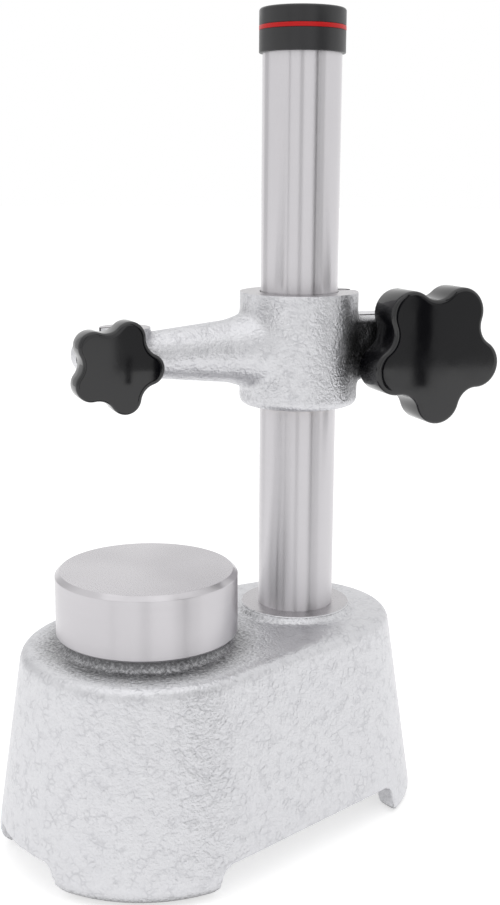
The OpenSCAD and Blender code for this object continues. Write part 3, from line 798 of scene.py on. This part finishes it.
def lapped_steel():
    """Table's face, lapped flat: short fine marks in all directions."""
    steel = Finish("lapped_steel", Metallic=1.0)
    lap = steel.noise(steel.place, 2600.0, 3.0, 0.7)
    cloud = steel.span(steel.noise(steel.place, 24.0, 2.0), 0.35, 0.65, 0.0, 1.0)
    steel.set("Base Color", steel.blend(cloud, (0.51, 0.495, 0.515, 1), (0.60, 0.585, 0.605, 1)))
    steel.set("Roughness", steel.span(lap, 0.3, 0.7, 0.22, 0.36))
    steel.relief(lap, 0.004 * MM, 0.5)
    return steel.material


def machined_steel(name, tone, low, high):
    """Turned or milled face of a small part or a casting."""
    steel = Finish(name, Metallic=1.0)
    grain = steel.noise(steel.place, 1800.0, 3.0, 0.6)
    cloud = steel.noise(steel.place, 160.0, 2.0)
    dark = tuple(0.86 * c for c in tone)
    steel.set("Base Color", steel.blend(cloud, dark + (1,), tone + (1,)))
    steel.set("Roughness", steel.span(grain, 0.3, 0.7, low, high))
    steel.relief(grain, 0.008 * MM, 0.5)
    return steel.material


def plastic(name, tone, gloss, low, high, grain_scale, depth):
    """Moulded plastic with a faint unevenness of its surface."""
    made = Finish(name, Specular_IOR_Level=gloss)
    grain = made.noise(made.place, grain_scale, 2.0)
    cloud = made.noise(made.place, 120.0, 2.0)
    dark = tuple(0.8 * c for c in tone)
    made.set("Base Color", made.blend(cloud, dark + (1,), tone + (1,)))
    made.set("Roughness", made.span(cloud, 0.3, 0.7, low, high))
    made.relief(grain, depth, 0.5)
    return made.material


FINISHES = {
    "hammer_paint": hammer_paint(),
    "ground_steel": ground_steel(),
    "lapped_steel": lapped_steel(),
    "turned_steel": turned_steel(),
    "machined_face": machined_steel("machined_face", (0.54, 0.525, 0.54), 0.26, 0.38),
    "blackened_steel": machined_steel("blackened_steel", (0.055, 0.055, 0.06), 0.32, 0.46),
    "plated_steel": machined_steel("plated_steel", (0.62, 0.62, 0.64), 0.22, 0.34),
    "cap_plastic": plastic("cap_plastic", (0.022, 0.022, 0.024), 0.5, 0.30, 0.40, 2500.0, 0.006 * MM),
    "ring_plastic": plastic("ring_plastic", (0.75, 0.006, 0.008), 0.3, 0.28, 0.38, 1500.0, 0.003 * MM),
    "knob_plastic": plastic("knob_plastic", (0.004, 0.004, 0.0055), 0.6, 0.06, 0.11, 350.0, 0.004 * MM),
    "bush_brass": machined_steel("bush_brass", (0.72, 0.52, 0.24), 0.22, 0.34),
    "insert_brass": machined_steel("insert_brass", (0.74, 0.54, 0.26), 0.22, 0.34),
}


def finish_nodes():
    """Gives every carried-over node the finish that the record names for it."""
    for part in frame["record"]["subparts"]:
        node = frame["nodes"][part["node"]]
        node.data.materials.clear()
        node.data.materials.append(FINISHES[part["material_slot"]])


def dress(piece, body, node, slot):
    """Seats a finished piece on its body in place of its node."""
    piece.data.materials.clear()
    piece.data.materials.append(FINISHES[slot])
    shade(piece)
    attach(piece, body)
    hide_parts(node)
    return piece


def second_finish(piece, finish, test):
    """Gives the faces that pass a test, such as those cut after painting, a finish of their own."""
    piece.data.materials.append(FINISHES[finish])
    for face in piece.data.polygons:
        if test(face.center, face.normal):
            face.material_index = 1


def bare_base(middle, normal):
    """Faces of the base that were cut after painting: the column's bore, the ring's top and the soles."""
    across_column = math.hypot(middle.x, middle.y - THROAT)
    height = middle.z - GROUND
    in_bore = across_column < COLUMN_R + 2 * NEAR
    on_ring = across_column < FOOT_RING_R - LAND_IN - 2 * NEAR and normal.z > 0.99 and height > BASE_H + MM
    on_sole = normal.z < -0.99 and height < NEAR
    return in_bore or on_ring or on_sole


def bare_carrier(middle, normal):
    """Faces of the carrier that were cut after painting: its top, its bores and its slots."""
    x, y, z = CARRIER_PLACE.inverted() @ middle
    turned_normal = CARRIER_PLACE.inverted().to_3x3() @ normal
    on_top = z > SLEEVE_H / 2 - NEAR
    in_bore = math.hypot(x, y) < BUSH_BORE_R + NEAR and abs(turned_normal.z) < 0.5
    in_stem = math.hypot(x, y + THROAT) < STEM_BORE_R + 2 * NEAR
    in_slot = abs(turned_normal.x) > 0.99 and abs(x) < COLUMN_CLAMP.slot / 2 + 2 * NEAR
    return on_top or in_bore or in_stem or in_slot


finish_nodes()
base = dress(build_base(), "base", "base_casting", "hammer_paint")
second_finish(base, "machined_face", bare_base)
carrier = dress(build_carrier(), "carrier", "carrier_casting", "hammer_paint")
second_finish(carrier, "machined_face", bare_carrier)
table = dress(build_table(), "base", "measuring_table", "lapped_steel")
second_finish(table, "turned_steel", lambda middle, normal: abs(normal.z) < 0.9)
table.visible_glossy = False
dress(build_column(), "base", "column", "ground_steel")
dress(build_cap(), "base", "column_cap", "cap_plastic")
dress(build_ring(), "base", "cap_ring", "ring_plastic")
dress(build_knob("column_clamp_knob_moulded", COLUMN_CLAMP), "column_clamp", "column_clamp_knob",
      "knob_plastic")
dress(build_knob("stem_clamp_knob_moulded", STEM_CLAMP), "stem_clamp", "stem_clamp_knob", "knob_plastic")


# Floor, light and camera
WHITE = (1, 1, 1, 1)


def seen_directly(nodes):
    """1 for what the camera sees, also in metal or through glass, and 0 for the light on things."""
    seen = nodes.node("ShaderNodeLightPath", {}, {}, "Is Camera Ray")
    for ray in ("Is Glossy Ray", "Is Transmission Ray"):
        seen = seen.math("MAXIMUM", seen, nodes.node("ShaderNodeLightPath", {}, {}, ray))
    return seen


def build_floor():
    """Pale bench that the camera sees nearly white, with the stand's shadow on it."""
    bpy.ops.object.select_all(action="DESELECT")
    bpy.ops.mesh.primitive_circle_add(vertices=96, radius=6.0, fill_type="NGON", location=(0, 0, GROUND))
    floor = bpy.context.object
    floor.name = "floor"
    made = bpy.data.materials.new("floor")
    nodes = Nodes(made)
    matt = nodes.node("ShaderNodeBsdfDiffuse", {}, {"Color": (0.72, 0.72, 0.72, 1)})
    glow = nodes.node("ShaderNodeEmission", {}, {"Strength": 0.62})
    lifted = nodes.node("ShaderNodeAddShader", {}, {0: matt, 1: glow})
    nodes.node("ShaderNodeOutputMaterial", {}, {"Surface": nodes.mix(seen_directly(nodes), matt, lifted)})
    floor.data.materials.append(made)


def build_world():
    """White to the camera and in reflections, and a softer white as light on the stand."""
    world = bpy.data.worlds.new("studio")
    bpy.context.scene.world = world
    nodes = Nodes(world)
    room = nodes.node("ShaderNodeBackground", {}, {"Color": WHITE, "Strength": 0.72})
    backdrop = nodes.node("ShaderNodeBackground", {}, {"Color": WHITE})
    nodes.node("ShaderNodeOutputWorld", {}, {"Surface": nodes.mix(seen_directly(nodes), room, backdrop)})


def softbox(name, place, aim, size, power):
    """Square lamp at a place, turned to a point."""
    lamp = bpy.data.lights.new(name, "AREA")
    lamp.shape = "SQUARE"
    lamp.size = size
    lamp.energy = power
    lamp_object = bpy.data.objects.new(name, lamp)
    bpy.context.scene.collection.objects.link(lamp_object)
    lamp_object.location = place
    lamp_object.rotation_mode = "QUATERNION"
    lamp_object.rotation_quaternion = (Vector(place) - Vector(aim)).to_track_quat("Z", "Y")


def dark_card(name, azimuth, distance, width, height, level):
    """Upright card on the bench, placed round the column, that only reflections see.

    It stands for the gaps between a studio's white walls. Its azimuth is in degrees from +X and its
    level is a brightness.
    """
    turn = math.radians(azimuth)
    bpy.ops.object.select_all(action="DESELECT")
    bpy.ops.mesh.primitive_plane_add(size=1)
    card = bpy.context.object
    card.name = name
    place = (distance * math.cos(turn), THROAT + distance * math.sin(turn), GROUND + height / 2)
    card.matrix_world = (Matrix.Translation(place) @ Matrix.Rotation(turn, 4, "Z")
                         @ Matrix.Rotation(math.pi / 2, 4, "Y") @ Matrix.Diagonal((height, width, 1, 1)))
    made = bpy.data.materials.new(name)
    nodes = Nodes(made)
    glow = nodes.node("ShaderNodeEmission", {}, {"Strength": level})
    nodes.node("ShaderNodeOutputMaterial", {}, {"Surface": glow})
    card.data.materials.append(made)
    card.visible_camera = False
    card.visible_diffuse = False
    card.visible_shadow = False


def build_camera():
    """Camera for a 500 x 905 picture, at the place and turn solved from the photograph's outlines."""
    data = bpy.data.cameras.new("camera")
    data.lens = 50.876
    data.clip_start, data.clip_end = 0.01, 50
    camera = bpy.data.objects.new("camera", data)
    bpy.context.scene.collection.objects.link(camera)
    right = Vector((0.58776698, 0.80901046, 0.00566207))
    up = Vector((-0.1786201, 0.12293988, 0.97620728))
    camera.matrix_world = Matrix((right, up, right.cross(up))).transposed().to_4x4()
    camera.location = (0.28845653, -0.17515599, 0.10728333)
    bpy.context.scene.camera = camera


build_floor()
build_world()
softbox("overhead", place=(0.1, -0.1, 1.3), aim=(0, 0.03, 0), size=1.6, power=3.0)
dark_card("camera_card", azimuth=-38, distance=0.52, width=0.10, height=0.6, level=0.62)
dark_card("stand_card", azimuth=6.5, distance=0.39, width=0.040, height=0.7, level=0.0)
dark_card("far_stand_card", azimuth=-73.5, distance=1.2, width=0.07, height=0.9, level=0.25)
dark_card("side_card", azimuth=-162, distance=0.9, width=0.40, height=0.9, level=0.72)
dark_card("low_card", azimuth=15, distance=0.8, width=0.5, height=0.35, level=0.44)
dark_card("low_gap_card", azimuth=15.9, distance=0.62, width=0.030, height=0.30, level=0.04)
dark_card("low_slit_card", azimuth=-0.5, distance=0.607, width=0.018, height=0.075, level=0.1)
build_camera()
bpy.context.scene.view_settings.view_transform = "Standard"
